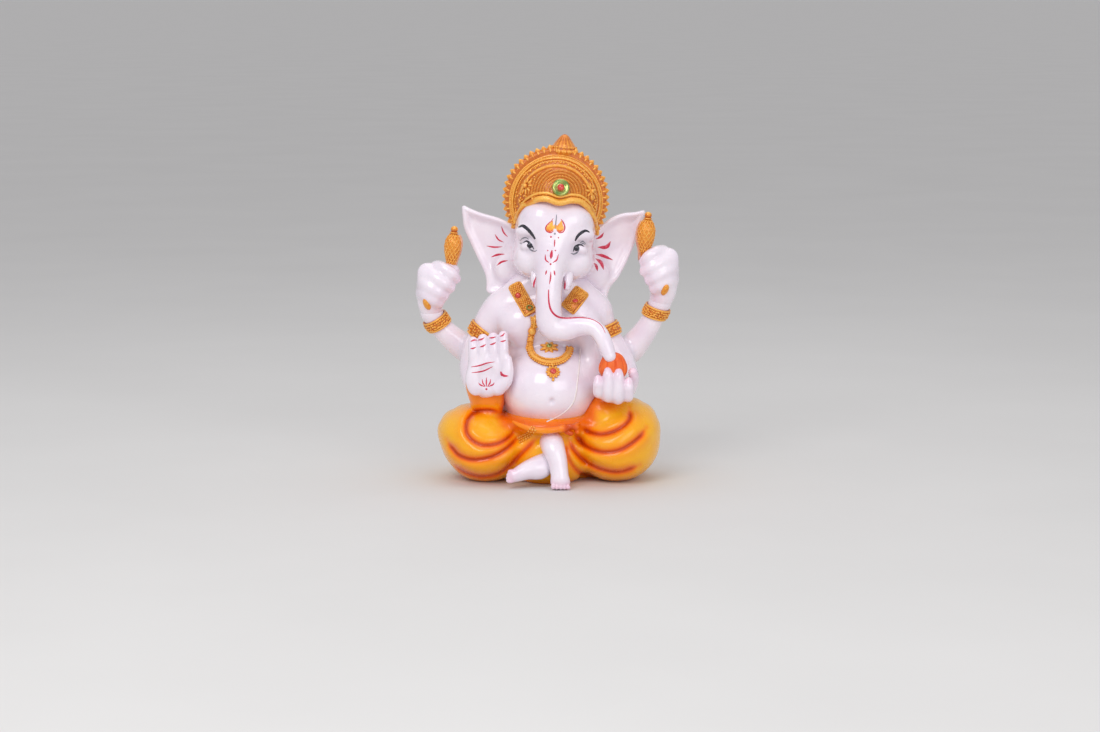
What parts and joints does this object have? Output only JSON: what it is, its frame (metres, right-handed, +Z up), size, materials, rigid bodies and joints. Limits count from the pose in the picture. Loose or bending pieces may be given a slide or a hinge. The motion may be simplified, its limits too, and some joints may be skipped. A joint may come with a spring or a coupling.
{
  "type": "ganesha idol",
  "caption": "Seated four-armed elephant-headed devotional statue in painted cast resin, standing on its own flat underside on a shelf or altar.",
  "frame": {"origin": "On the flat underside, at the centre of the idol's outline seen from above.", "axes": "+Z up, the idol's tallest way; +Y to the idol's back, its shallowest way, so it faces -Y; +X to the idol's own left."},
  "size_m": [0.1343, 0.079, 0.1748],
  "materials": {
    "resin_white": "gloss lacquer over white cast resin",
    "resin_ivory": "gloss, ivory",
    "paint_gold": "orange-gold paint under lacquer",
    "paint_saffron": "airbrushed saffron, gloss",
    "paint_orange": "satin orange paint",
    "metallic_green": "metallic green-gold setting",
    "stone_red": "gloss red paint and paste stone"
  },
  "bodies": {
    "root": {"head": "resin_white", "trunk": "resin_white", "ear_right": "resin_white", "ear_left": "resin_white", "torso": "resin_white", "rear_arm_right": "resin_white", "rear_arm_left": "resin_white", "rear_hand_right": "resin_white", "rear_hand_left": "resin_white", "front_arm_right": "resin_white", "front_arm_left": "resin_white", "front_hand_right": "resin_white", "front_hand_left": "resin_white", "leg_left": "resin_white", "foot_right": "resin_white", "tusk_right": "resin_ivory", "tusk_left": "resin_ivory", "sacred_thread": "resin_ivory", "crown_cap": "paint_gold", "crown_halo": "paint_gold", "crown_band": "paint_gold", "crown_finial": "paint_gold", "crown_rosettes": "paint_gold", "collar_right": "paint_gold", "collar_left": "paint_gold", "necklace": "paint_gold", "brooch": "paint_gold", "pendant": "paint_gold", "armlet_right": "paint_gold", "armlet_left": "paint_gold", "rear_bracelet_right": "paint_gold", "rear_bracelet_left": "paint_gold", "hand_jewel_right": "paint_gold", "hand_jewel_left": "paint_gold", "lotus_bud_right": "paint_gold", "lotus_bud_left": "paint_gold", "dhoti": "paint_saffron", "waist_sash": "paint_saffron", "waist_knot": "paint_saffron", "dhoti_hem": "paint_saffron", "front_bracelet_right": "paint_saffron", "modak_sweet": "paint_orange", "crown_gem_ring": "metallic_green", "brooch_stone": "metallic_green", "crown_gem": "stone_red", "collar_stones": "stone_red", "pendant_stone": "stone_red"}
  },
  "joints": []
}
